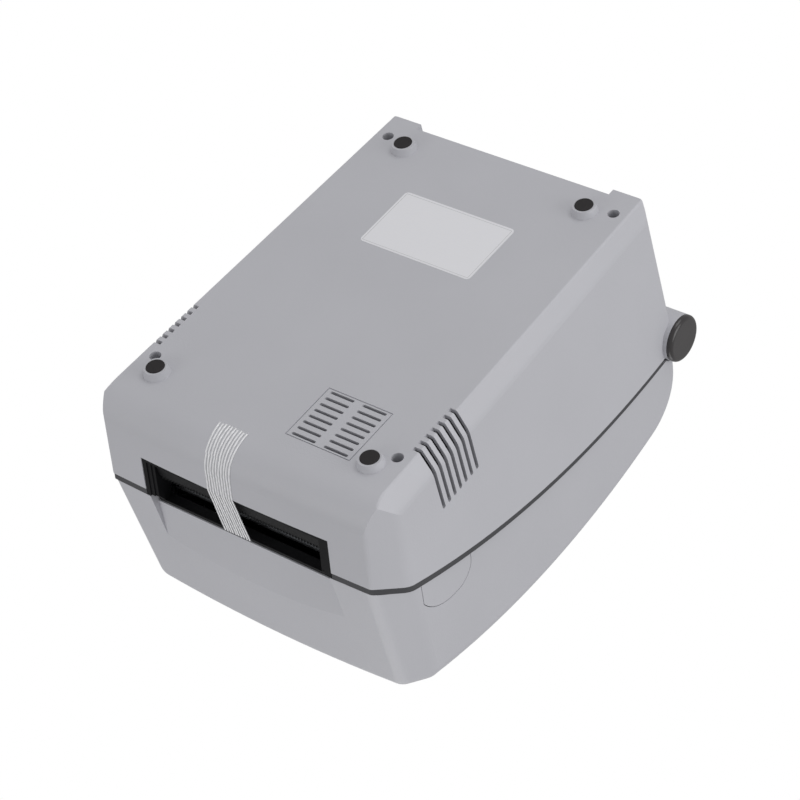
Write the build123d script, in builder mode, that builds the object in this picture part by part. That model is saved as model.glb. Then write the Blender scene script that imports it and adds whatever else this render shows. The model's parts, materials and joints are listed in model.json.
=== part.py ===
from build123d import *

import math
import os

os.makedirs("parts", exist_ok=True)

# Overall sizes of the closed printer, in millimetres.
# The frame stands on its feet: X to the right seen from the front, front at -Y, up +Z.
body_width = 202
body_depth = 290
body_height = 180
half_width = body_width / 2
front_y = -body_depth / 2

# Walls and clearances
base_wall = 2.6
lid_wall = 2.4
panel_gap = 0.4
slide_gap = 0.3
pin_gap = 0.05
fixed_gap = 0.2

# Plan shape of the casing
front_bow = 2.0
corner_width = 12
corner_depth = 17
corner_height = 64
corner_radius = 12
flat_edge_radius = 3
rear_corner_radius = 6
rear_taper = 10
rear_overhang = 19
base_side_flare = 0.07
base_rear_flare = 0.035
base_front_lean = 0.148
base_rear_lean = 0.052
lid_side_lean = 0.068
lid_flat_lean = 0.028
lid_front_lean = 0.09

# Parting line between base and lid, a single arc in side view
parting_front_z = 57.4
parting_rear_z = 116.8
parting_crest_y = 115
strip_front = 4.6
strip_rear = 3.6
strip_depth = 8

# Underside of the base
foot_height = 5
front_edge_radius = 20
rounding_bite = 0.0012
crease_radius = 1.4
facet_height = 12.3
facet_run_front = 7.4
facet_run_rear = 3.4
facet_bend_radius = 14
ear_inner_x = 66.5
rear_recess_depth = 4.2
rear_recess_top = 42

# Lid roof
roof_arc = 430
roof_crest_y = 25
roof_crown = 1015
roof_rear_radius = 36
roof_side_edge = 10
roof_front_edge = 9

# Feet and case screws
foot_pad_diameter = 10.6
foot_pad_thickness = 3
foot_boss_base = 15.4
foot_boss_top = 13
foot_boss_height = 4.5
front_foot = (half_width - 28.3, front_y + 39)
rear_foot = (half_width - 38.6, -front_y - 40.8)
front_screw = (half_width - 18.7, front_y + 48.7)
rear_screw = (half_width - 23.1, -front_y - 35.7)
screw_recess = 6.7
screw_pillar = 11
screw_seat_z = 30
screw_pillar_top = 36
screw_head = 5.8
screw_shank = 3

# Ventilation
side_vent_count = 7
side_vent_pitch = 5.2
side_vent_front_y = front_y + 57.9
side_vent_width = 2.4
side_vent_overlap = 3
side_vent_top = 43.2
grille_centre = (-40.3, front_y + 54.1)
grille_size = (42.6, 38)
grille_rows = 8
grille_row_pitch = 4.74
grille_column_pitch = 21.2
grille_slot = (15.6, 1.8)
grille_groove = 0.6

# Exit slot in the front
slot_half_width = 64
slot_bottom_z = 34.3
notch_half_width = 62
notch_top_z = 67.5
scoop_depth = 3.4
scoop_height = 22

# Hinge
knuckle_radius = 14.2
hinge_y = -front_y - knuckle_radius
hinge_z = 109.2
knuckle_gap = 0.8
end_knuckle_inner_x = half_width - 31
end_knuckle_outer_x = half_width - 5.5
hinge_shaft_diameter = 6
cap_thickness = 3.4
cap_edge = 2.4

# Media bay
bay_half_width = 62
bay_front_y = front_y + 79
bay_rear_y = -front_y - 37
bay_floor_z = 30
bay_wall = 2
deck_thickness = 2

# Printing unit
platen_diameter = 16
platen_length = 112
platen_y = front_y + 24
platen_z = 45
platen_shaft = 6
chassis_half_width = 62
chassis_sheet = 1.5
gear_module = 1.0
pinion_teeth = 12
idler_teeth = 26
platen_gear_teeth = 26
gear_width = 5
motor_size = 35.2
motor_length = 26
motor_y = front_y + 57
motor_z = 29
head_gap = 0.35
chassis_floor_z = 9
chassis_top_z = 50
chassis_front_y = platen_y - platen_diameter / 2
chassis_rear_y = bay_front_y - 5
chassis_toe = 15
gear_inner_x = 65
sensor_rail_y = front_y + 48
sensor_rail_z = 49

# Media guides
guide_x = 45
guide_thickness = 3
guide_front_y = 2
guide_rear_y = 62
hub_y = 32
hub_z = 78
hub_diameter = 24.6
hub_width = 12
rack_gear_teeth = 14

# Release buttons and latches
release_front_y = front_y + 26.4
release_rear_y = front_y + 69
release_crest_y = front_y + 55
release_rise = 23.8
release_shoulder_drop = 18
latch_y = front_y + 61.5
latch_width = 10
latch_arm_x = half_width - 15
latch_pivot_x = half_width - 17
latch_lever = 10.5
latch_hook = 3
latch_well_outer = half_width - 11
latch_well_inner = half_width - 22
latch_pin = 3
latch_well_gap = 5

# Ribbon carriage in the lid
carriage_half_width = 60
carriage_sheet = 1.5
supply_spindle = (front_y + 103, body_height - 58)
takeup_spindle = (front_y + 47, body_height - 72)
spindle_diameter = 22
head_pivot = (front_y + 61, body_height - 88)
carriage_front_y = front_y + 31
carriage_rear_y = front_y + 125

# Electronics
board_size = (120, 54)
board_bottom_z = 12
board_thickness = 1.6

# Key panel in the roof
feed_key_place = (half_width - 28, front_y + 41)
feed_key_diameter = 11
light_spacing = (16, 24)
light_diameter = 3

# Label stuck under the base and the strip of packing tape
sticker_size = (75, 45)
sticker_centre = (0.7, 51.7)
film_thickness = 0.15
tape_width = 19
tape_centre_x = 7
tape_start_y = front_y + 26

# Derived places
notch_edge_y = front_y + front_bow + lid_front_lean * (notch_top_z - parting_front_z)
scoop_y = notch_edge_y - front_bow / 2 + scoop_depth
lip_front_y = scoop_y + 0.5
lip_back_y = lip_front_y + 6
rear_wall_y = body_depth / 2 - rear_overhang
lid_rear_y = rear_wall_y + base_rear_lean * parting_rear_z
floor_z = foot_height + base_wall
bend_z = foot_height + facet_height


def cross_plane(y):
    """Upright plane across the printer: local x is X, local y is Z."""
    return Plane(origin=(0, y, 0), x_dir=(1, 0, 0), z_dir=(0, -1, 0))


def parting_radius(front_z, rear_z):
    span = parting_crest_y - front_y
    drop = rear_z - front_z
    return (span ** 2 + drop ** 2) / (2 * drop)


def parting_height(y, offset=0.0):
    """Height of the parting line at a depth, behind its crest it runs level."""
    radius = parting_radius(parting_front_z, parting_rear_z)
    reach = min(y - parting_crest_y, 0)
    return parting_rear_z - radius + math.sqrt(radius ** 2 - reach ** 2) + offset


def base_outline(z, inset):
    flat_x = half_width - corner_width - 0.4 * inset
    flat_y = front_y + front_bow - base_front_lean * (z - parting_front_z) + inset
    side_x = half_width + base_side_flare * (z - corner_height) - inset
    side_y = flat_y + corner_depth
    rear_x = half_width - rear_taper + base_rear_flare * (z - corner_height) - inset
    rear_y = rear_wall_y + base_rear_lean * z - inset
    return flat_x, flat_y, side_x, side_y, rear_x, rear_y


def lid_outline(z, inset):
    flat_x = half_width - corner_width - lid_flat_lean * (z - corner_height) - 0.4 * inset
    flat_y = front_y + front_bow + lid_front_lean * (z - parting_front_z) + inset
    side_x = half_width - lid_side_lean * (z - corner_height) - inset
    side_y = flat_y + corner_depth
    rear_at_parting = half_width - rear_taper + base_rear_flare * (parting_rear_z - corner_height)
    rear_x = rear_at_parting - lid_side_lean * (z - parting_rear_z) - inset
    rear_y = lid_rear_y - inset
    return flat_x, flat_y, side_x, side_y, rear_x, rear_y


def side_at(outline, y, z, inset=0.0):
    """Half width of a casing wall at a depth and a height."""
    flat_x, flat_y, side_x, side_y, rear_x, rear_y = outline(z, inset)
    return side_x + (rear_x - side_x) * (y - side_y) / (rear_y - side_y)


def plan_section(z, outline):
    flat_x, flat_y, side_x, side_y, rear_x, rear_y = outline
    with BuildSketch(Plane.XY.offset(z)) as section:
        with BuildLine():
            Polyline(
                (flat_x, flat_y), (side_x, side_y), (rear_x, rear_y),
                (-rear_x, rear_y), (-side_x, side_y), (-flat_x, flat_y),
            )
            ThreePointArc((-flat_x, flat_y), (0, flat_y - front_bow), (flat_x, flat_y))
        make_face()
    return section.sketch


def rising_edges(part, x, y, reach=4):
    """Edges that run upwards near one plan position, on both sides."""
    rising = part.edges().filter_by(lambda e: abs(e.tangent_at(0.5).Z) > 0.9)
    return rising.filter_by(
        lambda e: abs(abs(e.center().X) - x) < reach and abs(e.center().Y - y) < reach
    )


def rounded_turn(corner, first, second, radius):
    """Three points of the arc that rounds a corner between two unit directions."""
    opening = math.acos(first[0] * second[0] + first[1] * second[1])
    setback = radius / math.tan(opening / 2)
    start = (corner[0] + first[0] * setback, corner[1] + first[1] * setback)
    end = (corner[0] + second[0] * setback, corner[1] + second[1] * setback)
    bisector = (first[0] + second[0], first[1] + second[1])
    length = math.hypot(*bisector)
    depth = radius / math.sin(opening / 2) - radius
    middle = (corner[0] + bisector[0] / length * depth, corner[1] + bisector[1] / length * depth)
    return start, middle, end


def unit(dx, dy):
    length = math.hypot(dx, dy)
    return dx / length, dy / length


def above_parting(front_z, rear_z):
    """Everything above the curved parting line."""
    radius = parting_radius(front_z, rear_z)
    far_y = front_y - 30
    back_y = body_depth / 2 + 60
    top_z = body_height + 60
    far_z = rear_z - radius + math.sqrt(radius ** 2 - (parting_crest_y - far_y) ** 2)
    with BuildPart() as above:
        with BuildSketch(Plane.YZ.offset(-body_width)):
            with BuildLine():
                RadiusArc((far_y, far_z), (parting_crest_y, rear_z), radius)
                Polyline(
                    (parting_crest_y, rear_z), (back_y, rear_z), (back_y, top_z),
                    (far_y, top_z), (far_y, far_z),
                )
            make_face()
        extrude(amount=2 * body_width)
    return above.part


def corner_post(outline, levels, inset):
    """Straight-walled casing block between two heights, with rounded corners."""
    flat_x, flat_y, side_x, side_y, rear_x, rear_y = outline(sum(levels) / 2, inset)
    with BuildPart() as post:
        loft([plan_section(z, outline(z, inset)) for z in levels], ruled=True)
        fillet(rising_edges(post, side_x, side_y), corner_radius - inset)
        fillet(rising_edges(post, flat_x, flat_y), max(flat_edge_radius - inset, 1))
        fillet(rising_edges(post, rear_x, rear_y), max(rear_corner_radius - inset, 1))
    return post.part


def front_rounding(inset):
    """Waste outside the large rounding between underside and front."""
    low_z = foot_height + inset
    edge_y = front_y - base_front_lean * (low_z - parting_front_z) + inset
    floor_line = (1.0, 0.0)
    front_line = unit(-base_front_lean - rounding_bite, 1)
    toe, middle, brow = rounded_turn(
        (edge_y, low_z), floor_line, front_line, front_edge_radius - inset
    )
    bow_radius = ((half_width - corner_width) ** 2 + front_bow ** 2) / (2 * front_bow)
    with BuildPart() as waste:
        with BuildSketch(Plane.YZ):
            with BuildLine():
                ThreePointArc(toe, middle, brow)
                Polyline(
                    brow, (brow[0] - 9, brow[1]), (brow[0] - 9, low_z - 9),
                    (toe[0], low_z - 9), toe,
                )
            make_face()
        revolve(axis=Axis((0, front_y + bow_radius, 0), (0, 0, 1)), revolution_arc=4)
        mirror(about=Plane.YZ)
    return waste.part


def facet_waste(side, inset):
    """Waste outside the slanted facet along one lower side."""
    sections = []
    ends = ((front_y - 10, facet_run_front), (rear_wall_y + 10, facet_run_rear))
    for y, run in ends:
        bend_x = side_at(base_outline, y, bend_z, inset)
        above_x = side_at(base_outline, y, bend_z + 10, inset)
        down = unit(-run, -facet_height)
        up = unit(above_x - bend_x, 10)
        start, middle, end = rounded_turn((bend_x, bend_z), down, up, facet_bend_radius)
        low = (bend_x + down[0] * 25, bend_z + down[1] * 25)
        outside = half_width + 40
        with BuildSketch(cross_plane(y)) as waste:
            with BuildLine():
                Line((side * low[0], low[1]), (side * start[0], start[1]))
                ThreePointArc(
                    (side * start[0], start[1]), (side * middle[0], middle[1]),
                    (side * end[0], end[1]),
                )
                Polyline(
                    (side * end[0], end[1]), (side * outside, end[1]),
                    (side * outside, low[1]), (side * low[0], low[1]),
                )
            make_face()
        sections.append(waste.sketch)
    with BuildPart() as cutter:
        loft(sections, ruled=True)
    return cutter.part


def base_block(inset):
    with BuildPart() as block:
        add(corner_post(base_outline, (foot_height + inset, parting_rear_z + 15), inset))
        for side in (1, -1):
            add(facet_waste(side, inset), mode=Mode.SUBTRACT)
        add(front_rounding(inset), mode=Mode.SUBTRACT)
    return block.part


def roof_block(inset):
    """Domed block whose top is the lid's roof."""
    top = body_height - inset
    radius = roof_arc - inset
    back_y = lid_rear_y - inset
    far_y = front_y - 10
    with BuildPart() as block:
        with BuildSketch(Plane.YZ) as profile:
            with BuildLine():
                far_z = top - radius + math.sqrt(radius ** 2 - (roof_crest_y - far_y) ** 2)
                back_z = top - radius + math.sqrt(radius ** 2 - (back_y - roof_crest_y) ** 2)
                RadiusArc((far_y, far_z), (back_y, back_z), radius)
                Polyline((back_y, back_z), (back_y, 30), (far_y, 30), (far_y, far_z))
            make_face()
            upper_back = profile.vertices().group_by(Axis.Y)[-1].sort_by(Axis.Z)[-1]
            fillet(upper_back, roof_rear_radius - inset)
        revolve(axis=Axis((0, 0, body_height - roof_crown), (0, 1, 0)), revolution_arc=9)
        mirror(about=Plane.YZ)
    return block.part


def lid_block(inset):
    with BuildPart() as block:
        levels = (40, body_height + 10)
        loft([plan_section(z, lid_outline(z, inset)) for z in levels], ruled=True)
        add(roof_block(inset), mode=Mode.INTERSECT)
        rising = block.edges().filter_by(lambda e: abs(e.tangent_at(0.5).Z) > 0.85)
        front_rising = rising.filter_by(lambda e: e.center().Y < 0)
        corners = front_rising.sort_by(lambda e: -abs(e.center().X))[0:2]
        fillet(corners, corner_radius - inset)
        high = block.edges().filter_by(lambda e: e.center().Z > 130)
        side_rim = high.filter_by(
            lambda e: abs(e.center().X) > 80
            and e.center().Y > -60
            and abs(e.tangent_at(0.5).X) < 0.5
            and e.length > 10
        )
        fillet(side_rim, roof_side_edge - inset)
        high = block.edges().filter_by(lambda e: e.center().Z > 140)
        front_rim = high.filter_by(
            lambda e: e.center().Y < -100 and abs(e.tangent_at(0.5).Z) < 0.5
        )
        fillet(front_rim, roof_front_edge - inset)
    return block.part


def spur_gear(plane, teeth, width, bore, hub=0.0):
    """Spur gear with straight-flanked teeth and free backlash, standing on a plane."""
    root = gear_module * teeth / 2 - 1.2 * gear_module
    tip = gear_module * teeth / 2 + 0.8 * gear_module
    share = 2 * math.pi / teeth
    foot = 0.30 * share * root
    crest = 0.11 * share * tip
    with BuildPart() as gear:
        with BuildSketch(plane):
            Circle(root)
            with PolarLocations(0, teeth):
                Polygon(
                    (root - 0.3, -foot), (tip, -crest), (tip, crest), (root - 0.3, foot),
                    align=None,
                )
            Circle(bore / 2, mode=Mode.SUBTRACT)
        extrude(amount=width)
        if hub:
            with BuildSketch(plane.offset(width)):
                Circle(hub / 2)
                Circle(bore / 2, mode=Mode.SUBTRACT)
            extrude(amount=1.0)
    return gear.part


def facing_x(x, y, z, turn=0.0):
    """Plane whose normal is -X, for parts that turn about a cross axis."""
    angle = math.radians(turn)
    return Plane(
        origin=(x, y, z), x_dir=(0, math.cos(angle), -math.sin(angle)), z_dir=(-1, 0, 0)
    )


def finish(part, label):
    part.label = label
    export_step(part, f"parts/{label}.step")
    return part


# Base shell
lower_cut = above_parting(parting_front_z - strip_front / 2, parting_rear_z - strip_rear / 2)
upper_keep = above_parting(parting_front_z + strip_front / 2, parting_rear_z + strip_rear / 2)

feet_places = [(s * x, y) for x, y in (front_foot, rear_foot) for s in (1, -1)]
screw_places = [(s * x, y) for x, y in (front_screw, rear_screw) for s in (1, -1)]
side_vent_centre_y = side_vent_front_y + side_vent_pitch * (side_vent_count - 1) / 2
board_y = rear_wall_y - rear_recess_depth - base_wall - 0.8 - board_size[1] / 2
board_top_z = board_bottom_z + board_thickness
board_holes = (board_size[0] - 8, board_size[1] - 8)
panel_y = rear_wall_y - rear_recess_depth

# Rear connectors as centre, width and height on the board
connectors = {
    "power_inlet": (-47, 10, 11),
    "usb_port": (-12, 12, 11),
    "network_port": (12, 16, 13.5),
    "serial_port": (37, 31, 12.5),
}
switch_x = -32
switch_z = 21
switch_size = (11, 13)

with BuildPart() as base_hollow:
    add(base_block(base_wall))
    with BuildSketch(Plane.XY.offset(foot_height)):
        with Locations((0, rear_wall_y)):
            Rectangle(2 * (ear_inner_x + base_wall), 2 * (rear_recess_depth + base_wall))
    extrude(amount=rear_recess_top + base_wall - foot_height, mode=Mode.SUBTRACT)

with BuildPart() as base_shell:
    add(base_block(0))
    low_edges = base_shell.edges().filter_by(lambda e: abs(e.center().Z - foot_height) < 0.1)
    creases = low_edges.filter_by(lambda e: e.length > 50 and abs(e.tangent_at(0.5).Y) > 0.9)
    fillet(creases, crease_radius)
    add(base_hollow.part, mode=Mode.SUBTRACT)
    with BuildSketch(Plane.XY.offset(foot_height - 1)):
        with Locations((0, rear_wall_y + 2)):
            Rectangle(2 * ear_inner_x, 2 * (rear_recess_depth + 2))
    extrude(amount=rear_recess_top - foot_height + 1, mode=Mode.SUBTRACT)
    # feet, screw pillars and board posts
    with Locations([(x, y, foot_height - foot_boss_height / 2) for x, y in feet_places]):
        Cone(foot_boss_top / 2, foot_boss_base / 2, foot_boss_height)
    with BuildSketch(Plane.XY.offset(foot_height + base_wall / 2)):
        with Locations(screw_places):
            Circle(screw_pillar / 2)
    extrude(amount=screw_pillar_top - foot_height - base_wall / 2)
    with BuildSketch(Plane.XY.offset(foot_height + base_wall / 2)):
        with Locations((0, board_y)):
            with GridLocations(board_holes[0], board_holes[1], 2, 2):
                Circle(3)
    extrude(amount=board_bottom_z - foot_height - base_wall / 2)
    with BuildSketch(Plane.XY.offset(floor_z)):
        with Locations((0, board_y)):
            with GridLocations(board_holes[0], board_holes[1], 2, 2):
                Circle(1.25 + pin_gap)
    extrude(amount=board_bottom_z - floor_z, mode=Mode.SUBTRACT)
    add(lower_cut, mode=Mode.SUBTRACT)
    with BuildSketch(Plane.XY.offset(foot_height - foot_boss_height)):
        with Locations(feet_places):
            Circle(foot_pad_diameter / 2 + pin_gap)
    extrude(amount=foot_pad_thickness - foot_height + foot_boss_height, mode=Mode.SUBTRACT)
    with BuildSketch(Plane.XY.offset(foot_height - 1)):
        with Locations(screw_places):
            Circle(screw_recess / 2)
    extrude(amount=screw_seat_z - foot_height + 1, mode=Mode.SUBTRACT)
    with BuildSketch(Plane.XY.offset(screw_seat_z - 1)):
        with Locations(screw_places):
            Circle(screw_shank / 2 + slide_gap)
    extrude(amount=screw_pillar_top - screw_seat_z + 2, mode=Mode.SUBTRACT)
    # vents that start under the lower crease and run up each side
    for side in (1, -1):
        crease_x = side_at(base_outline, side_vent_centre_y, bend_z) - facet_run_front - side_vent_overlap
        vent_height = side_vent_top - foot_height + 2
        with BuildSketch(Plane.YZ.offset(side * crease_x)):
            with Locations((side_vent_centre_y, foot_height - 2 + vent_height / 2)):
                with GridLocations(side_vent_pitch, 1, side_vent_count, 1):
                    SlotOverall(vent_height, side_vent_width, rotation=90)
        extrude(amount=side * 20, mode=Mode.SUBTRACT)
    # grille under the print unit, with a fine groove around it
    with BuildSketch(Plane.XY.offset(foot_height - 1)):
        with Locations(grille_centre):
            with GridLocations(grille_column_pitch, grille_row_pitch, 2, grille_rows):
                SlotOverall(grille_slot[0], grille_slot[1])
    extrude(amount=base_wall + 2, mode=Mode.SUBTRACT)
    with BuildSketch(Plane.XY.offset(foot_height - 1)):
        with Locations(grille_centre):
            Rectangle(grille_size[0], grille_size[1])
            Rectangle(
                grille_size[0] - 2 * grille_groove, grille_size[1] - 2 * grille_groove,
                mode=Mode.SUBTRACT,
            )
    extrude(amount=1.5, mode=Mode.SUBTRACT)
    # exit slot, open towards the lid
    with BuildSketch(Plane.XZ.offset(-front_y - 25)):
        with Locations((0, slot_bottom_z + 50)):
            Rectangle(2 * slot_half_width, 100)
    extrude(amount=60, mode=Mode.SUBTRACT)
    # openings for the rear connectors and the switch
    with BuildSketch(Plane.XZ.offset(-panel_y - 1)):
        for x, width, height in connectors.values():
            with Locations((x, board_top_z + height / 2)):
                Rectangle(width + 2 * slide_gap, height + 2 * slide_gap)
        with Locations((switch_x, switch_z)):
            Rectangle(switch_size[0] + 2 * fixed_gap, switch_size[1] + 2 * fixed_gap)
    extrude(amount=base_wall + 3, mode=Mode.SUBTRACT)
    # hinge: outer knuckles and the cradle for the lid's knuckle
    with BuildSketch(Plane.YZ.offset(-end_knuckle_outer_x)):
        with Locations((hinge_y, hinge_z)):
            Circle(knuckle_radius)
    extrude(amount=2 * end_knuckle_outer_x)
    with BuildSketch(Plane.YZ.offset(-end_knuckle_inner_x)):
        with Locations((hinge_y, hinge_z)):
            Circle(knuckle_radius + knuckle_gap)
    extrude(amount=2 * end_knuckle_inner_x, mode=Mode.SUBTRACT)
    with BuildSketch(Plane.YZ.offset(-end_knuckle_outer_x)):
        with Locations((hinge_y, hinge_z)):
            Circle(hinge_shaft_diameter / 2 + pin_gap)
    extrude(amount=2 * end_knuckle_outer_x, mode=Mode.SUBTRACT)
    for side in (1, -1):
        with BuildSketch(Plane.YZ.offset(side * end_knuckle_outer_x)):
            with Locations((hinge_y, hinge_z)):
                Circle(knuckle_radius + slide_gap)
        extrude(amount=side * 20, mode=Mode.SUBTRACT)
finish(base_shell.part, "base_shell")

# Rubber feet and case screws
with BuildPart() as rubber_feet:
    with BuildSketch():
        with Locations(feet_places):
            Circle(foot_pad_diameter / 2)
    extrude(amount=foot_pad_thickness)
    rims = rubber_feet.edges().group_by(Axis.Z)[0]
    fillet(rims, 0.5)
finish(rubber_feet.part, "rubber_feet")

with BuildPart() as case_screws:
    with BuildSketch(Plane.XY.offset(screw_seat_z - 3)):
        with Locations(screw_places):
            Circle(screw_head / 2)
    extrude(amount=3)
    with BuildSketch(Plane.XY.offset(screw_seat_z)):
        with Locations(screw_places):
            Circle(screw_shank / 2)
    extrude(amount=18)
    with BuildSketch(Plane.XY.offset(screw_seat_z - 3)):
        with Locations(screw_places):
            Rectangle(3.6, 0.8)
            Rectangle(0.8, 3.6)
    extrude(amount=1.4, mode=Mode.SUBTRACT)
finish(case_screws.part, "case_screws")

# Bay liner: the dark strip around the parting line, a deck below it and the label well
well_outer = bay_half_width + bay_wall
liner_rear_y = hinge_y - knuckle_radius - knuckle_gap - 0.4
strip_top = above_parting(
    parting_front_z + strip_front / 2 - panel_gap, parting_rear_z + strip_rear / 2 - panel_gap
)
deck_low = above_parting(
    parting_front_z - strip_front / 2 - deck_thickness,
    parting_rear_z - strip_rear / 2 - deck_thickness,
)
liner_levels = (parting_front_z - 12, parting_rear_z + 15)

with BuildPart() as strip_ring:
    add(corner_post(base_outline, liner_levels, panel_gap))
    add(corner_post(base_outline, liner_levels, strip_depth), mode=Mode.SUBTRACT)
    add(lower_cut, mode=Mode.INTERSECT)
    add(strip_top, mode=Mode.SUBTRACT)

with BuildPart() as deck:
    add(corner_post(base_outline, liner_levels, base_wall + slide_gap))
    add(deck_low, mode=Mode.INTERSECT)
    add(lower_cut, mode=Mode.SUBTRACT)
    with BuildSketch():
        with Locations((0, (front_y - 10 + bay_rear_y) / 2)):
            Rectangle(2 * bay_half_width, bay_rear_y - front_y + 10)
        for side in (1, -1):
            with Locations((side * (latch_well_outer + latch_well_inner) / 2, latch_y)):
                Rectangle(latch_well_outer - latch_well_inner, latch_width + latch_well_gap)
    extrude(amount=body_height, mode=Mode.SUBTRACT)

with BuildPart() as bay_liner:
    with BuildSketch(Plane.XY.offset(bay_floor_z - bay_wall)):
        with Locations((0, (bay_front_y + bay_rear_y) / 2)):
            Rectangle(2 * well_outer, bay_rear_y - bay_front_y + 2 * bay_wall)
    extrude(amount=body_height / 2)
    with BuildSketch(Plane.XY.offset(bay_floor_z)):
        with Locations((0, (bay_front_y + bay_rear_y) / 2)):
            Rectangle(2 * bay_half_width, bay_rear_y - bay_front_y)
    extrude(amount=body_height, mode=Mode.SUBTRACT)
    with BuildSketch(Plane.XY.offset(bay_floor_z + 24)):
        with Locations((0, bay_front_y)):
            Rectangle(2 * bay_half_width, 6 * bay_wall)
    extrude(amount=body_height, mode=Mode.SUBTRACT)
    with BuildSketch(Plane.XY.offset(screw_pillar_top + fixed_gap)):
        with Locations(screw_places):
            Circle(screw_pillar / 2 - 1)
    extrude(amount=body_height / 2 + 4)
    with BuildSketch(Plane.XY.offset(screw_pillar_top)):
        with Locations(screw_places):
            Circle(screw_shank / 2 + pin_gap)
    extrude(amount=16, mode=Mode.SUBTRACT)
    add(lower_cut, mode=Mode.SUBTRACT)
    add(deck.part)
    add(strip_ring.part)
    with BuildSketch(Plane.XY.offset(floor_z)):
        with Locations((0, front_y)):
            Rectangle(2 * slot_half_width, 30)
        with Locations((0, liner_rear_y + 20)):
            Rectangle(body_width + 20, 40)
    extrude(amount=body_height, mode=Mode.SUBTRACT)
finish(bay_liner.part, "bay_liner")

# Printing unit in the base: bezel, tear bar, platen and drive
slot_edge = slot_half_width - slide_gap
bezel_low_z = slot_bottom_z + slide_gap
bezel_high_z = parting_front_z + strip_front / 2 - panel_gap
bezel_back_y = front_y + 14
bezel_step = 0.6
bezel_posts = (2.6, 5.2, 7.4)
bezel_rim = 2
tear_z = bezel_low_z + 12
slot_bow = front_bow * (1 - (slot_half_width / (half_width - corner_width)) ** 2)
lip_top_z = notch_top_z - 0.6
lip_low_z = lip_top_z - 2
lip_half_width = notch_half_width - 1.2


def bezel_face(z):
    """Depth of the bezel's leaning front, just behind the casing's front."""
    corner_y = front_y + front_bow - slot_bow - base_front_lean * (z - parting_front_z)
    return corner_y + panel_gap


with BuildPart() as exit_bezel:
    ledge_y = bezel_face(tear_z) + 4
    with BuildSketch(Plane.YZ.offset(-slot_edge)):
        rim_z = bezel_low_z + bezel_rim
        Polygon(
            (bezel_face(bezel_low_z), bezel_low_z), (bezel_face(rim_z), rim_z),
            (bezel_face(rim_z) + bezel_step, rim_z), (bezel_face(rim_z) + bezel_step, rim_z + 0.8),
            (ledge_y - 0.6, rim_z + 1.6), (ledge_y, tear_z),
            (bezel_back_y, tear_z), (bezel_back_y, bezel_low_z + 9),
            (bezel_back_y - 5, bezel_low_z), align=None,
        )
    extrude(amount=2 * slot_edge)
    for side in (1, -1):
        for step, reach in enumerate(bezel_posts):
            depth = step * bezel_step
            with BuildSketch(Plane.YZ.offset(side * (slot_edge - reach))):
                Polygon(
                    (bezel_face(bezel_low_z) + depth, bezel_low_z),
                    (bezel_face(bezel_high_z) + depth, bezel_high_z),
                    (bezel_back_y, bezel_high_z), (bezel_back_y, bezel_low_z), align=None,
                )
            extrude(amount=side * reach)
        with BuildSketch(Plane.YZ.offset(side * (slot_edge - bezel_posts[-1]))):
            Polygon(
                (bezel_face(bezel_high_z) + 2 * bezel_step, bezel_high_z - 1),
                (lip_front_y, lip_low_z), (lip_front_y, lip_top_z),
                (lip_back_y, lip_top_z), (lip_back_y, bezel_high_z - 1), align=None,
            )
        extrude(amount=side * (lip_half_width - slot_edge + bezel_posts[-1]))
    with BuildSketch(Plane.YZ.offset(-lip_half_width)):
        with Locations(((lip_front_y + lip_back_y) / 2, (lip_low_z + lip_top_z) / 2)):
            Rectangle(lip_back_y - lip_front_y, lip_top_z - lip_low_z)
    extrude(amount=2 * lip_half_width)
finish(exit_bezel.part, "exit_bezel")

tear_length = 2 * (slot_edge - bezel_posts[-1] - 1)
with BuildPart() as tear_bar:
    with BuildSketch(Plane.XY.offset(tear_z)):
        with Locations((0, ledge_y + 3.4)):
            Rectangle(tear_length, 6)
        teeth = int(tear_length / 2)
        with Locations((0, ledge_y + 0.4)):
            with GridLocations(2, 1, teeth, 1):
                Triangle(a=1.9, b=1.6, c=1.6, rotation=180)
    extrude(amount=1.2)
finish(tear_bar.part, "tear_bar")

platen_top_z = platen_z + platen_diameter / 2
plate_x = chassis_half_width - chassis_sheet
gear_outer_x = gear_inner_x + gear_width
bush_outer = chassis_half_width + 1.5
with BuildPart() as platen_roller:
    with BuildSketch(facing_x(platen_length / 2, platen_y, platen_z)):
        Circle(platen_diameter / 2)
        Circle(platen_shaft / 2 + pin_gap, mode=Mode.SUBTRACT)
    extrude(amount=platen_length)
    chamfer(platen_roller.edges().filter_by(GeomType.CIRCLE).sort_by(Edge.length)[-2:], 0.5)
finish(platen_roller.part, "platen_roller")

with BuildPart() as platen_axle:
    with BuildSketch(facing_x(bush_outer + 2, platen_y, platen_z)):
        Circle(platen_shaft / 2)
    extrude(amount=bush_outer + 2 + gear_outer_x + 1.5)
finish(platen_axle.part, "platen_axle")

with BuildPart() as platen_bushes:
    for side in (1, -1):
        with BuildSketch(facing_x(side * (plate_x - 2), platen_y, platen_z)):
            Circle(5)
            Circle(platen_shaft / 2 + pin_gap, mode=Mode.SUBTRACT)
        extrude(amount=-side * (bush_outer - plate_x + 2))
finish(platen_bushes.part, "platen_bushes")

# gear train, worked out as circles that meet: motor pinion, idler, platen gear
reach_motor = gear_module * (pinion_teeth + idler_teeth) / 2
reach_platen = gear_module * (platen_gear_teeth + idler_teeth) / 2
gap_y = platen_y - motor_y
gap_z = platen_z - motor_z
gap = math.hypot(gap_y, gap_z)
along = (reach_motor ** 2 - reach_platen ** 2 + gap ** 2) / (2 * gap)
aside = math.sqrt(reach_motor ** 2 - along ** 2)
idler_y = motor_y + (gap_y * along - gap_z * aside) / gap
idler_z = motor_z + (gap_z * along + gap_y * aside) / gap


def heading(from_place, to_place):
    """Direction between two centres as an angle on a plane that faces -X."""
    return math.degrees(
        math.atan2(-(to_place[1] - from_place[1]), to_place[0] - from_place[0])
    )


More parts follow.
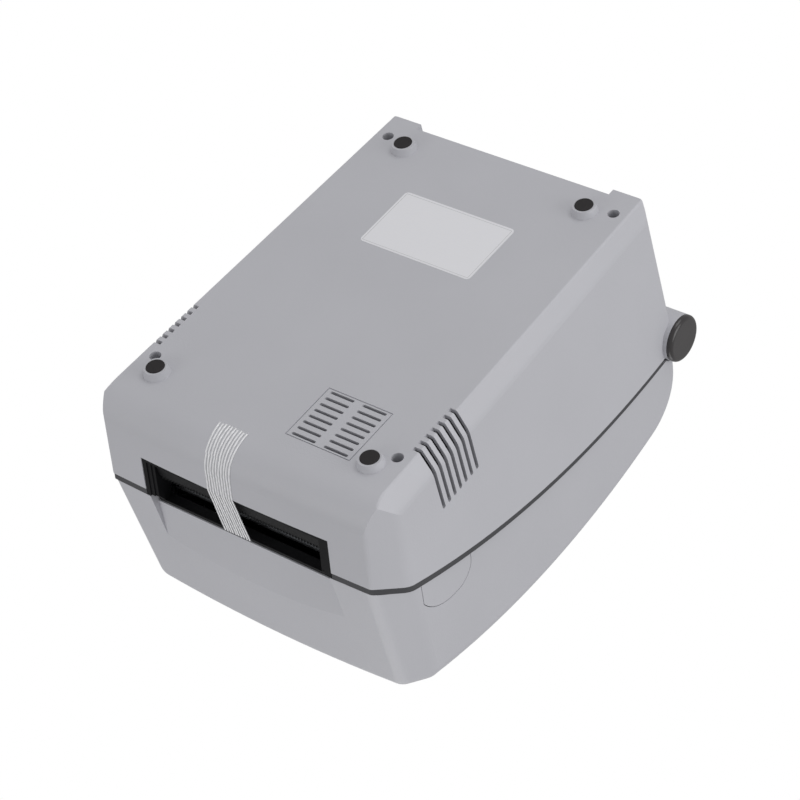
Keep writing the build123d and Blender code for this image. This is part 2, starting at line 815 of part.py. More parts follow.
platen_place = (platen_y, platen_z)
idler_place = (idler_y, idler_z)
motor_place = (motor_y, motor_z)
platen_turn = heading(platen_place, idler_place)
idler_turn = heading(idler_place, platen_place) + 180 / idler_teeth
idler_pitch = 360 / idler_teeth
to_motor = heading(idler_place, motor_place)
idler_phase = ((to_motor - idler_turn) % idler_pitch) / idler_pitch
pinion_pitch = 360 / pinion_teeth
pinion_turn = heading(motor_place, idler_place) + (0.5 + idler_phase) * pinion_pitch

platen_gear = spur_gear(
    facing_x(-gear_inner_x, platen_y, platen_z, platen_turn),
    platen_gear_teeth, gear_width, platen_shaft + 2 * pin_gap, 11,
)
finish(platen_gear, "platen_gear")
idler_gear = spur_gear(
    facing_x(-gear_inner_x, idler_y, idler_z, idler_turn), idler_teeth, gear_width, 5 + 2 * pin_gap
)
finish(idler_gear, "idler_gear")
motor_pinion = spur_gear(
    facing_x(-gear_inner_x, motor_y, motor_z, pinion_turn), pinion_teeth, gear_width, 5 + 2 * pin_gap
)
finish(motor_pinion, "motor_pinion")

with BuildPart() as motor_shaft:
    with BuildSketch(facing_x(-plate_x + motor_length - 4, motor_y, motor_z)):
        Circle(2.5)
    extrude(amount=gear_outer_x - plate_x + motor_length - 3)
finish(motor_shaft.part, "motor_shaft")

with BuildPart() as idler_post:
    with BuildSketch(facing_x(-plate_x, idler_y, idler_z)):
        Circle(2.5)
    extrude(amount=gear_outer_x - plate_x + 1.2)
    with BuildSketch(facing_x(-gear_outer_x - slide_gap, idler_y, idler_z)):
        Circle(4)
    extrude(amount=0.9)
finish(idler_post.part, "idler_post")

with BuildPart() as stepper_motor:
    with BuildSketch(facing_x(-plate_x + motor_length, motor_y, motor_z)):
        RectangleRounded(motor_size, motor_size, 4)
    extrude(amount=motor_length)
    with BuildSketch(facing_x(-plate_x, motor_y, motor_z)):
        Circle(11)
    extrude(amount=chassis_sheet + 0.5)
    with BuildSketch(facing_x(-plate_x + motor_length - 3, motor_y, motor_z)):
        Circle(2.5 + pin_gap)
    extrude(amount=motor_length + 2, mode=Mode.SUBTRACT)
finish(stepper_motor.part, "stepper_motor")

with BuildPart() as print_chassis:
    chassis_depth = chassis_rear_y - chassis_front_y
    chassis_y = (chassis_rear_y + chassis_front_y) / 2
    with BuildSketch(Plane.XY.offset(chassis_floor_z)):
        with Locations((0, chassis_y)):
            Rectangle(2 * chassis_half_width, chassis_depth)
    extrude(amount=chassis_top_z - chassis_floor_z)
    with BuildSketch(Plane.XY.offset(chassis_floor_z + chassis_sheet)):
        with Locations((0, chassis_y)):
            Rectangle(2 * plate_x, chassis_depth + 2)
    extrude(amount=chassis_top_z, mode=Mode.SUBTRACT)
    with BuildSketch(Plane.XY.offset(chassis_floor_z - 1)):
        with Locations((0, chassis_y)):
            Rectangle(2 * plate_x - 10, chassis_depth - 16)
    extrude(amount=chassis_sheet + 2, mode=Mode.SUBTRACT)
    toe_y = chassis_front_y + chassis_toe
    toe_z = chassis_floor_z + chassis_toe
    with BuildSketch(Plane.YZ.offset(-chassis_half_width - 1)):
        Polygon(
            (chassis_front_y - 1, chassis_floor_z - 1), (toe_y + 1, chassis_floor_z - 1),
            (chassis_front_y - 1, toe_z + 1), align=None,
        )
    extrude(amount=2 * chassis_half_width + 2, mode=Mode.SUBTRACT)
    with BuildSketch(facing_x(chassis_half_width + 1, platen_y, platen_z)):
        Circle(5 + fixed_gap / 4)
    extrude(amount=2 * chassis_half_width + 2, mode=Mode.SUBTRACT)
    with BuildSketch(facing_x(-plate_x + 1, motor_y, motor_z)):
        Circle(11 + fixed_gap / 4)
    extrude(amount=chassis_sheet + 2, mode=Mode.SUBTRACT)
    with BuildSketch(facing_x(-plate_x + 1, idler_y, idler_z)):
        Circle(2.5)
    extrude(amount=chassis_sheet + 2, mode=Mode.SUBTRACT)
finish(print_chassis.part, "print_chassis")

with BuildPart() as sensor_rail:
    with BuildSketch(facing_x(plate_x, sensor_rail_y, sensor_rail_z)):
        Rectangle(4, 3)
    extrude(amount=2 * plate_x)
finish(sensor_rail.part, "sensor_rail")

with BuildPart() as gap_sensor:
    with BuildSketch(facing_x(8, sensor_rail_y, sensor_rail_z)):
        with Locations((0, -0.4)):
            Rectangle(9, 4.8)
        Rectangle(4 + 2 * slide_gap, 3 + 2 * slide_gap, mode=Mode.SUBTRACT)
        with Locations((0, 2)):
            Rectangle(3, 2, mode=Mode.SUBTRACT)
    extrude(amount=16)
finish(gap_sensor.part, "gap_sensor")

# Media guides: two upright plates with roll hubs, geared together by racks and a pinion
rack_low_z = bay_floor_z + slide_gap
rack_thickness = 3
rack_root = gear_module * (rack_gear_teeth / 2 + 1.2)
rack_bar = 3.8
rack_end = 24
plate_low_z = rack_low_z + rack_thickness + 0.7
plate_high_z = hub_z + hub_diameter / 2 + 2
guide_middle_y = (guide_front_y + guide_rear_y) / 2
guide_inner = guide_x - guide_thickness / 2


rack_pitch = math.pi * gear_module
rack_teeth_middle = 3 * rack_pitch
post_diameter = 7.4


def media_guide(side):
    """Upright plate with a rack at its foot; the two racks pass either side of the pinion."""
    with BuildPart() as guide:
        with BuildSketch(Plane.YZ.offset(side * guide_x - guide_thickness / 2)) as plate:
            with BuildLine():
                Polyline(
                    (guide_front_y, plate_low_z), (guide_rear_y, plate_low_z),
                    (hub_y + 16, plate_high_z), (hub_y - 16, plate_high_z), close=True,
                )
            make_face()
            fillet(plate.vertices(), 5)
        extrude(amount=guide_thickness)
        bar_y = guide_middle_y - side * (rack_root + rack_bar / 2)
        bar_length = guide_x + guide_thickness / 2 + rack_end
        with BuildSketch(Plane.XY.offset(rack_low_z)):
            with Locations((side * (bar_length / 2 - rack_end), bar_y)):
                Rectangle(bar_length, rack_bar)
            tip_y = guide_middle_y - side * gear_module * (rack_gear_teeth / 2 - 0.8)
            base_y = guide_middle_y - side * (rack_root + 0.2)
            with Locations((side * rack_teeth_middle, 0)):
                with GridLocations(rack_pitch, 1, 18, 1):
                    Polygon(
                        (-0.3 * rack_pitch, base_y), (-0.11 * rack_pitch, tip_y),
                        (0.11 * rack_pitch, tip_y), (0.3 * rack_pitch, base_y), align=None,
                    )
        extrude(amount=rack_thickness)
        with BuildSketch(Plane.XY.offset(rack_low_z)):
            with Locations((side * guide_x, bar_y)):
                Rectangle(guide_thickness, rack_bar)
        extrude(amount=rack_thickness + 8)
        with BuildSketch(facing_x(side * guide_x, hub_y, hub_z)):
            Circle(post_diameter / 2)
        extrude(amount=side * (guide_thickness / 2 + hub_width + slide_gap + 0.2))
    return guide.part


def roll_hub(side):
    """Cup that carries the end of a label roll and turns on the guide's post."""
    inner_x = side * (guide_inner - slide_gap)
    with BuildPart() as hub:
        with BuildSketch(facing_x(inner_x, hub_y, hub_z)):
            Circle(hub_diameter / 2)
            Circle(post_diameter / 2 + pin_gap, mode=Mode.SUBTRACT)
        extrude(amount=side * hub_width)
        rims = hub.edges().filter_by(GeomType.CIRCLE).sort_by(Edge.length)[-2:]
        inner_rim = rims.sort_by(lambda e: abs(e.center().X))[0]
        chamfer(inner_rim, 2.5)
        with BuildSketch(facing_x(inner_x, hub_y, hub_z)):
            Circle(hub_diameter / 2 + 3.5)
            Circle(post_diameter / 2 + pin_gap, mode=Mode.SUBTRACT)
        extrude(amount=side * 1.6)
    return hub.part


finish(media_guide(-1), "media_guide_left")
finish(media_guide(1), "media_guide_right")
finish(roll_hub(-1), "roll_hub_left")
finish(roll_hub(1), "roll_hub_right")

pinion_plane = Plane(origin=(0, guide_middle_y, rack_low_z), x_dir=(0, 1, 0), z_dir=(0, 0, 1))
guide_pinion = spur_gear(pinion_plane, rack_gear_teeth, rack_thickness, 4 + 2 * pin_gap)
finish(guide_pinion, "guide_pinion")

with BuildPart() as pinion_screw:
    with BuildSketch(Plane.XY.offset(bay_floor_z)):
        with Locations((0, guide_middle_y)):
            Circle(2)
    extrude(amount=rack_thickness + 2 * slide_gap)
    with BuildSketch(Plane.XY.offset(bay_floor_z + rack_thickness + 2 * slide_gap)):
        with Locations((0, guide_middle_y)):
            Circle(4)
            Rectangle(4.5, 0.9, mode=Mode.SUBTRACT)
    extrude(amount=1.6)
finish(pinion_screw.part, "pinion_screw")

# Electronics: main board with its rear connectors, and the power switch
connector_depth = 17
connector_front_y = panel_y + 0.3 - connector_depth
with BuildPart() as main_board:
    with BuildSketch(Plane.XY.offset(board_bottom_z)):
        with Locations((0, board_y)):
            Rectangle(board_size[0], board_size[1])
            with GridLocations(board_holes[0], board_holes[1], 2, 2):
                Circle(1.6, mode=Mode.SUBTRACT)
    extrude(amount=board_thickness)
    # processor, memory, capacitors and cable headers, low enough for the well above
    with BuildSketch(Plane.XY.offset(board_top_z)):
        with Locations((18, board_y - 8)):
            Rectangle(20, 20)
    extrude(amount=1.6)
    with BuildSketch(Plane.XY.offset(board_top_z)):
        with Locations((40, board_y - 8)):
            Rectangle(8, 14)
        with Locations((-8, board_y - 12)):
            Rectangle(9, 9)
    extrude(amount=1.1)
    with BuildSketch(Plane.XY.offset(board_top_z)):
        with Locations((-46, board_y - 4)):
            with GridLocations(11, 11, 2, 2):
                Circle(4)
    extrude(amount=11)
    with BuildSketch(Plane.XY.offset(board_top_z)):
        with Locations((-20, board_y - board_size[1] / 2 + 4), (8, board_y - board_size[1] / 2 + 4)):
            Rectangle(20, 5)
    extrude(amount=6)
finish(main_board.part, "main_board")

with BuildPart() as board_screws:
    with BuildSketch(Plane.XY.offset(floor_z)):
        with Locations((0, board_y)):
            with GridLocations(board_holes[0], board_holes[1], 2, 2):
                Circle(1.25)
    extrude(amount=board_top_z - floor_z)
    with BuildSketch(Plane.XY.offset(board_top_z)):
        with Locations((0, board_y)):
            with GridLocations(board_holes[0], board_holes[1], 2, 2):
                Circle(2.6)
                Rectangle(3.2, 0.7, mode=Mode.SUBTRACT)
    extrude(amount=1.8)
finish(board_screws.part, "board_screws")


def connector_block(name):
    """Outer can of a rear connector, standing on the board."""
    x, width, height = connectors[name]
    with BuildPart() as block:
        with BuildSketch(Plane.XY.offset(board_top_z)):
            with Locations((x, connector_front_y + connector_depth / 2)):
                Rectangle(width, connector_depth)
        extrude(amount=height)
    return block.part


def mouth_plane(name, setback=0.0):
    """Plane on a connector's outer face, local x to the right seen from behind."""
    x, width, height = connectors[name]
    mouth_y = connector_front_y + connector_depth - setback
    return Plane(origin=(x, mouth_y, board_top_z + height / 2), x_dir=(-1, 0, 0), z_dir=(0, 1, 0))


with BuildPart() as power_inlet:
    add(connector_block("power_inlet"))
    with BuildSketch(mouth_plane("power_inlet")):
        Circle(3.2)
    extrude(amount=-10, mode=Mode.SUBTRACT)
    with BuildSketch(mouth_plane("power_inlet", 10.5)):
        Circle(1)
    extrude(amount=9.5)
finish(power_inlet.part, "power_inlet")

with BuildPart() as usb_port:
    add(connector_block("usb_port"))
    with BuildSketch(mouth_plane("usb_port")):
        Rectangle(9, 8)
    extrude(amount=-12, mode=Mode.SUBTRACT)
    with BuildSketch(mouth_plane("usb_port", 12.5)):
        Rectangle(5.6, 3.2)
    extrude(amount=10)
finish(usb_port.part, "usb_port")

with BuildPart() as network_port:
    add(connector_block("network_port"))
    with BuildSketch(mouth_plane("network_port")):
        with Locations((0, -0.6)):
            Rectangle(11.8, 8)
        with Locations((0, 4)):
            Rectangle(6, 3)
    extrude(amount=-12, mode=Mode.SUBTRACT)
finish(network_port.part, "network_port")

with BuildPart() as serial_port:
    add(connector_block("serial_port"))
    with BuildSketch(mouth_plane("serial_port")):
        Trapezoid(18, 9, 80, rotation=180)
    extrude(amount=-8, mode=Mode.SUBTRACT)
    with BuildSketch(mouth_plane("serial_port", 8.5)):
        Trapezoid(15.4, 6.6, 80, rotation=180)
    extrude(amount=7)
    with BuildSketch(mouth_plane("serial_port")):
        with GridLocations(25, 1, 2, 1):
            RegularPolygon(2.4, 6)
            Circle(1.3, mode=Mode.SUBTRACT)
    extrude(amount=3)
finish(serial_port.part, "serial_port")

rocker_radius = 5
rocker_axis_y = panel_y - 3.2
with BuildPart() as power_switch:
    with BuildSketch(Plane.XZ.offset(-panel_y + 13)):
        with Locations((switch_x, switch_z)):
            Rectangle(switch_size[0], switch_size[1])
    extrude(amount=-14)
    with BuildSketch(Plane.XZ.offset(-panel_y)):
        with Locations((switch_x, switch_z)):
            Rectangle(switch_size[0] + 2.4, switch_size[1] + 2)
    extrude(amount=-1)
    with BuildSketch(facing_x(switch_x + 4.2, rocker_axis_y, switch_z)):
        Circle(rocker_radius + slide_gap)
        with Locations((6, 0)):
            Rectangle(12, 2 * rocker_radius + 2 * slide_gap)
    extrude(amount=8.4, mode=Mode.SUBTRACT)
finish(power_switch.part, "power_switch")

with BuildPart() as power_rocker:
    with BuildSketch(facing_x(switch_x + 3.9, rocker_axis_y, switch_z)):
        Circle(rocker_radius)
        with Locations((rocker_radius + 1.4, rocker_radius - 1)):
            Rectangle(4, 8, rotation=9, mode=Mode.SUBTRACT)
        with Locations((rocker_radius + 1.4, 1 - rocker_radius)):
            Rectangle(4, 8, rotation=-9, mode=Mode.SUBTRACT)
    extrude(amount=7.8)
finish(power_rocker.part, "power_rocker")

# Hinge shaft and its end caps
with BuildPart() as hinge_shaft:
    with BuildSketch(facing_x(end_knuckle_outer_x - 0.2, hinge_y, hinge_z)):
        Circle(hinge_shaft_diameter / 2)
    extrude(amount=2 * end_knuckle_outer_x - 0.4)
finish(hinge_shaft.part, "hinge_shaft")

for side, label in ((-1, "hinge_cap_left"), (1, "hinge_cap_right")):
    with BuildPart() as hinge_cap:
        with BuildSketch(facing_x(side * end_knuckle_outer_x, hinge_y, hinge_z)):
            Circle(knuckle_radius)
        extrude(amount=-side * cap_thickness)
        rims = hinge_cap.edges().filter_by(GeomType.CIRCLE)
        fillet(rims.sort_by(lambda e: abs(e.center().X))[-1], cap_edge)
    finish(hinge_cap.part, label)

# Blank label under the base
with BuildPart() as rating_label:
    with BuildSketch(Plane.XY.offset(foot_height - film_thickness)):
        with Locations(sticker_centre):
            RectangleRounded(sticker_size[0], sticker_size[1], 2.5)
    extrude(amount=film_thickness)
finish(rating_label.part, "rating_label")

# Strip of packing tape over the front, from the underside to just short of the lid
tape_end_z = lip_top_z - 0.3
tape_end_y = lip_front_y - film_thickness - pin_gap
slot_front_y = front_y + 0.012 - base_front_lean * (slot_bottom_z - parting_front_z)
with BuildPart() as packing_tape:
    add(base_block(-film_thickness))
    add(base_block(-0.01), mode=Mode.SUBTRACT)
    with BuildSketch():
        with Locations((tape_centre_x, tape_start_y - 25)):
            Rectangle(tape_width, 50)
    extrude(amount=slot_bottom_z + 0.2, mode=Mode.INTERSECT)
    with BuildSketch(Plane.YZ.offset(tape_centre_x - tape_width / 2)):
        with BuildLine():
            Polyline(
                (slot_front_y - film_thickness, slot_bottom_z - 0.3),
                (slot_front_y + 0.05, slot_bottom_z + 0.2), (tape_end_y + film_thickness, tape_end_z),
                (tape_end_y, tape_end_z), close=True,
            )
        make_face()
    extrude(amount=tape_width)
finish(packing_tape.part, "packing_tape")

# Lid: domed shell with the notch and scoop over the exit slot and a knuckle at its back
scoop_lean = 0.038


def scoop_profile(setback, low_z, high_z):
    """Side view of the space in front of the scoop's slightly leaning face."""
    far_y = front_y - 20
    return (
        (far_y, low_z), (scoop_y - scoop_lean * (low_z - notch_top_z) + setback, low_z),
        (scoop_y - scoop_lean * (high_z - notch_top_z) + setback, high_z), (far_y, high_z),
    )


lid_outer = lid_block(0)
lid_inner = lid_block(lid_wall)
scoop_high_z = notch_top_z + scoop_height + 12

with BuildPart() as lid_hollow:
    add(lid_inner)
    with BuildSketch(Plane.YZ.offset(-notch_half_width - lid_wall)):
        Polygon(*scoop_profile(lid_wall, 40, scoop_high_z), align=None)
    extrude(amount=2 * (notch_half_width + lid_wall), mode=Mode.SUBTRACT)

boss_top = body_height + 5
carriage_top_z = body_height - 30
carriage_screw_reach = 5
carriage_places = [(s * 50, y) for y in (carriage_front_y + 10, carriage_rear_y - 10) for s in (1, -1)]
with BuildPart() as lid_bosses:
    with BuildSketch(Plane.XY.offset(carriage_top_z + carriage_sheet)):
        with Locations(carriage_places):
            Circle(4)
    extrude(amount=boss_top - carriage_top_z)
    add(lid_outer, mode=Mode.INTERSECT)
    with BuildSketch(Plane.XY.offset(carriage_top_z)):
        with Locations(carriage_places):
            Circle(1.5 + pin_gap)
    extrude(amount=carriage_screw_reach + 0.6, mode=Mode.SUBTRACT)


def release_profile(grow):
    """Side view of a release button, closed well below the parting line."""
    crest_z = parting_height(release_crest_y) + release_rise
    shoulder_z = crest_z - release_shoulder_drop
    heel_z = shoulder_z + 4
    nose_y = (release_front_y + release_crest_y) / 2 - 6
    nose_z = crest_z - release_shoulder_drop * 0.42
    tail_y = release_rear_y - 3.6
    tail_z = crest_z - 3.6
    with BuildSketch() as outline:
        with BuildLine():
            Line((release_front_y, 40), (release_front_y, shoulder_z))
            ThreePointArc(
                (release_front_y, shoulder_z), (nose_y, nose_z), (release_crest_y, crest_z)
            )
            ThreePointArc(
                (release_crest_y, crest_z), (tail_y, tail_z), (release_rear_y, heel_z)
            )
            Polyline((release_rear_y, heel_z), (release_rear_y, 40), (release_front_y, 40))
        make_face()
        if grow:
            offset(amount=grow)
    return outline.sketch


def release_prism(grow, side):
    with BuildPart() as prism:
        with BuildSketch(Plane.YZ.offset(side * half_width / 2)):
            add(release_profile(grow))
        extrude(amount=side * half_width)
    return prism.part


arm_width = 7
arm_height = 3
arm_z = parting_height(latch_y + arm_width / 2) + strip_front / 2 + 0.9 + arm_height / 2
latch_pivot_z = arm_z + latch_lever
latch_low_y = latch_y - latch_width / 2
latch_tip_z = parting_height(latch_low_y) - strip_front / 2 - deck_thickness - latch_hook - 0.5
latch_ear = 2
ear_inner = latch_width / 2 + slide_gap
ear_high_z = latch_pivot_z + 26
key_y = feed_key_place[1]
key_roof_z = body_height - roof_arc + math.sqrt(roof_arc ** 2 - (key_y - roof_crest_y) ** 2)
key_z = key_roof_z - feed_key_place[0] ** 2 / (2 * roof_crown)
key_lean = math.atan2(roof_crest_y - key_y, key_roof_z - body_height + roof_arc)
key_normal = Vector(feed_key_place[0] / roof_crown, -math.sin(key_lean), math.cos(key_lean))
key_plane = Plane(
    origin=(feed_key_place[0], key_y, key_z),
    x_dir=Vector(1, 0, -feed_key_place[0] / roof_crown), z_dir=key_normal,
)
light_places = [(0, reach) for reach in light_spacing]
key_board_depth = 10
key_board_length = 46

with BuildPart() as lid_shell:
    add(lid_outer)
    add(lid_hollow.part, mode=Mode.SUBTRACT)
    add(lid_bosses.part)
    # ears that carry the latches
    for side in (1, -1):
        for end in (1, -1):
            ear_y = latch_y + end * (ear_inner + latch_ear / 2)
            wall_x = side_at(lid_outline, ear_y, ear_high_z) - lid_wall / 2
            with BuildSketch(cross_plane(ear_y + latch_ear / 2)):
                Polygon(
                    (side * wall_x, ear_high_z), (side * wall_x, ear_high_z - 12),
                    (side * (latch_pivot_x + 4.5), ear_high_z - 15),
                    (side * (latch_pivot_x + 4.5), latch_pivot_z - 4.5),
                    (side * (latch_pivot_x - 4.5), latch_pivot_z - 4.5),
                    (side * (latch_pivot_x - 4.5), latch_pivot_z + 4),
                    (side * (wall_x - 8), ear_high_z), align=None,
                )
            extrude(amount=latch_ear)
        with BuildSketch(cross_plane(latch_y + ear_inner + latch_ear + 1)):
            with Locations((side * latch_pivot_x, latch_pivot_z)):
                Circle(latch_pin / 2)
        extrude(amount=latch_width + 2 * latch_ear + 3, mode=Mode.SUBTRACT)
    # scoop and notch
    with BuildSketch(Plane.YZ.offset(-notch_half_width)):
        Polygon(*scoop_profile(0, notch_top_z, scoop_high_z + 20), align=None)
    extrude(amount=2 * notch_half_width, mode=Mode.SUBTRACT)
    with BuildSketch(Plane.XY.offset(30)):
        with Locations((0, front_y)):
            Rectangle(2 * notch_half_width, 60)
    extrude(amount=notch_top_z - 30, mode=Mode.SUBTRACT)
    # openings for the release buttons, the feed key and its lights
    for side in (1, -1):
        add(release_prism(0, side), mode=Mode.SUBTRACT)
    with BuildSketch(key_plane.offset(2)):
        Circle(feed_key_diameter / 2 + slide_gap)
        with Locations(light_places):
            Circle(light_diameter / 2 + pin_gap)
    extrude(amount=-8, mode=Mode.SUBTRACT)
    add(upper_keep, mode=Mode.INTERSECT)
    # knuckle between the base's two
    with BuildSketch(Plane.YZ.offset(-end_knuckle_outer_x - 8)):
        with Locations((hinge_y, hinge_z)):
            Circle(knuckle_radius + knuckle_gap)
    extrude(amount=2 * end_knuckle_outer_x + 16, mode=Mode.SUBTRACT)
    with BuildSketch(Plane.YZ.offset(-end_knuckle_inner_x + panel_gap)):
        with Locations((hinge_y, hinge_z)):
            Circle(knuckle_radius)
    extrude(amount=2 * end_knuckle_inner_x - 2 * panel_gap)
    with BuildSketch(Plane.YZ.offset(-end_knuckle_inner_x + panel_gap)):
        with Locations((lid_rear_y - lid_wall / 2, hinge_z + knuckle_radius)):
            Rectangle(lid_wall, 8)
    extrude(amount=2 * end_knuckle_inner_x - 2 * panel_gap)
    with BuildSketch(Plane.YZ.offset(-end_knuckle_outer_x)):
        with Locations((hinge_y, hinge_z)):
            Circle(hinge_shaft_diameter / 2 + pin_gap)
    extrude(amount=2 * end_knuckle_outer_x, mode=Mode.SUBTRACT)
finish(lid_shell.part, "lid_shell")

# Release buttons in the lid's sides
flange_gap = lid_wall + slide_gap
flange_wall = 1.5
above_strip = above_parting(parting_front_z + strip_front, parting_rear_z + strip_rear)
for side, label in ((-1, "release_button_left"), (1, "release_button_right")):
    with BuildPart() as release_flange:
        add(lid_block(flange_gap))
        add(lid_block(flange_gap + flange_wall), mode=Mode.SUBTRACT)
        add(release_prism(1.6, side), mode=Mode.INTERSECT)
        add(above_strip, mode=Mode.INTERSECT)
    with BuildPart() as release_button:
        add(lid_outer)
        add(lid_block(flange_gap + flange_wall), mode=Mode.SUBTRACT)
        add(release_prism(-panel_gap, side), mode=Mode.INTERSECT)
        add(upper_keep, mode=Mode.INTERSECT)
        add(release_flange.part)
        arm_start = side_at(lid_outline, latch_y, arm_z) - flange_gap - flange_wall / 2
        arm_end = latch_arm_x + 1.5 + slide_gap + 0.2
        with BuildSketch(Plane.YZ.offset(side * arm_end)):
            with Locations((latch_y, arm_z)):
                Rectangle(arm_width, arm_height)
        extrude(amount=side * (arm_start - arm_end))
    finish(release_button.part, label)

# Latches that hang in the lid and reach through the deck
for side, label in ((-1, "latch_left"), (1, "latch_right")):
    with BuildPart() as latch:
        with BuildSketch(cross_plane(latch_y + latch_width / 2)):
            with Locations((side * latch_pivot_x, latch_pivot_z)):
                Circle(4)
            lip_x = latch_well_outer - slide_gap
            inner_x = latch_arm_x - 1.5
            Polygon(
                (side * (latch_pivot_x - 3), latch_pivot_z), (side * (latch_pivot_x + 3.5), latch_pivot_z),
                (side * (latch_arm_x + 1.5), latch_pivot_z - 6),
                (side * (latch_arm_x + 1.5), latch_tip_z + latch_hook),
                (side * lip_x, latch_tip_z + latch_hook), (side * lip_x, latch_tip_z + latch_hook - 1),
                (side * (inner_x + 1), latch_tip_z), (side * inner_x, latch_tip_z),
                align=None,
            )
            with Locations((side * latch_pivot_x, latch_pivot_z)):
                Circle(latch_pin / 2 + pin_gap, mode=Mode.SUBTRACT)
        extrude(amount=latch_width)
    finish(latch.part, label)

with BuildPart() as latch_pins:
    for side in (1, -1):
        with BuildSketch(cross_plane(latch_y + ear_inner + latch_ear)):
            with Locations((side * latch_pivot_x, latch_pivot_z)):
                Circle(latch_pin / 2)
        extrude(amount=2 * (ear_inner + latch_ear))
finish(latch_pins.part, "latch_pins")

# Ribbon carriage
spindle_bore = 8
cheek_inner = carriage_half_width - carriage_sheet
head_pin = 5
with BuildPart() as ribbon_carriage:
    for side in (1, -1):
        with BuildSketch(facing_x(side * carriage_half_width, 0, 0)) as cheek:
            Polygon(
                (carriage_front_y, -carriage_top_z), (carriage_rear_y, -carriage_top_z),
                (carriage_rear_y, 10 - carriage_top_z), (supply_spindle[0] + 13, 11 - supply_spindle[1]),
                (supply_spindle[0] - 8, 14 - supply_spindle[1]), (head_pivot[0] + 12, 8 - head_pivot[1]),
                (head_pivot[0] - 8, 9 - head_pivot[1]), (takeup_spindle[0] - 14, 12 - takeup_spindle[1]),
                align=None,
            )
            fillet(cheek.vertices().filter_by(lambda v: v.Z < carriage_top_z - 1), 5)
            for y, z in (supply_spindle, takeup_spindle):
                with Locations((y, -z)):
                    Circle(spindle_bore / 2 + pin_gap, mode=Mode.SUBTRACT)
            with Locations((head_pivot[0], -head_pivot[1])):
                Circle(head_pin / 2, mode=Mode.SUBTRACT)
        extrude(amount=side * carriage_sheet)
    with BuildSketch(Plane.XY.offset(carriage_top_z)):
        with Locations((0, (carriage_front_y + carriage_rear_y) / 2)):
            Rectangle(2 * carriage_half_width, carriage_rear_y - carriage_front_y)
            Rectangle(64, 50, mode=Mode.SUBTRACT)
        with Locations(carriage_places):
            Circle(1.5 + pin_gap, mode=Mode.SUBTRACT)
    extrude(amount=carriage_sheet)
finish(ribbon_carriage.part, "ribbon_carriage")

with BuildPart() as carriage_screws:
    with BuildSketch(Plane.XY.offset(carriage_top_z - 2.2)):
        with Locations(carriage_places):
            Circle(3)
    extrude(amount=2.2)
    with BuildSketch(Plane.XY.offset(carriage_top_z)):
        with Locations(carriage_places):
            Circle(1.5)
    extrude(amount=carriage_screw_reach)
finish(carriage_screws.part, "carriage_screws")

spindles = {"ribbon_supply_spindle": supply_spindle, "ribbon_takeup_spindle": takeup_spindle}
for label, (y, z) in spindles.items():
    with BuildPart() as spindle:
        with BuildSketch(facing_x(carriage_half_width, y, z)):
            Circle(spindle_bore / 2)
        extrude(amount=2 * carriage_half_width)
        with BuildSketch(facing_x(cheek_inner - 1, y, z)):
            Circle(spindle_diameter / 2)
            with PolarLocations(spindle_diameter / 2, 3):
                Circle(2, mode=Mode.SUBTRACT)
        extrude(amount=2 * (cheek_inner - 1))
        with BuildSketch(facing_x(-cheek_inner + 7, y, z)):
            Circle(spindle_diameter / 2 + 3)
        extrude(amount=2)
    finish(spindle.part, label)

# Printhead on its sprung bracket
head_low_z = platen_top_z + head_gap
head_y = platen_y
arm_outer = cheek_inner - 1.5
with BuildPart() as head_bracket:
    for side in (1, -1):
        with BuildSketch(facing_x(side * arm_outer, 0, 0)):
            with Locations((head_pivot[0], -head_pivot[1])):
                Circle(6)
            Polygon(
                (head_pivot[0] - 5, -head_pivot[1] - 4), (head_pivot[0] + 4, -head_pivot[1] + 5),
                (head_y + 14, -head_low_z - 8.6), (head_y - 9, -head_low_z - 8.6),
                (head_y - 9, -head_low_z - 16), align=None,
            )
            with Locations((head_pivot[0], -head_pivot[1])):
                Circle(head_pin / 2 + pin_gap, mode=Mode.SUBTRACT)
        extrude(amount=side * 1.5)
    with BuildSketch(Plane.XY.offset(head_low_z + 8.6)):
        with Locations((0, head_y + 2.5)):
            Rectangle(2 * arm_outer, 23)
            Rectangle(60, 8, mode=Mode.SUBTRACT)
    extrude(amount=1.5)
finish(head_bracket.part, "head_bracket")

with BuildPart() as heat_sink:
    with BuildSketch(Plane.XY.offset(head_low_z + 2)):
        with Locations((0, head_y + 1)):
            Rectangle(108, 16)
    extrude(amount=6.6)
    with BuildSketch(facing_x(55, head_y, head_low_z + 8.6)):
        with GridLocations(4, 1, 3, 1):
            Rectangle(2, 4)
    extrude(amount=110, mode=Mode.SUBTRACT)
finish(heat_sink.part, "heat_sink")

with BuildPart() as printhead:
    with BuildSketch(Plane.XY.offset(head_low_z)):
        with Locations((0, head_y)):
            Rectangle(108, 12)
    extrude(amount=2)
finish(printhead.part, "printhead")

with BuildPart() as head_pivot_pin:
    with BuildSketch(facing_x(carriage_half_width, head_pivot[0], head_pivot[1])):
        Circle(head_pin / 2)
    extrude(amount=2 * carriage_half_width)
finish(head_pivot_pin.part, "head_pivot_pin")

# Feed key, its lights and the small board under them
with BuildPart() as feed_key:
    with BuildSketch(key_plane.offset(-lid_wall - 3)):
        Circle(feed_key_diameter / 2)
    extrude(amount=lid_wall + 3.8)
    fillet(feed_key.edges().filter_by(GeomType.CIRCLE).sort_by(Axis.Z)[-1], 0.5)
    with BuildSketch(key_plane.offset(-lid_wall - 1)):
        Circle(feed_key_diameter / 2 + 1.5)
    extrude(amount=-1.4)
    with BuildSketch(key_plane.offset(-lid_wall - 2.4)):
        Circle(2)
    extrude(amount=-2.4)
finish(feed_key.part, "feed_key")

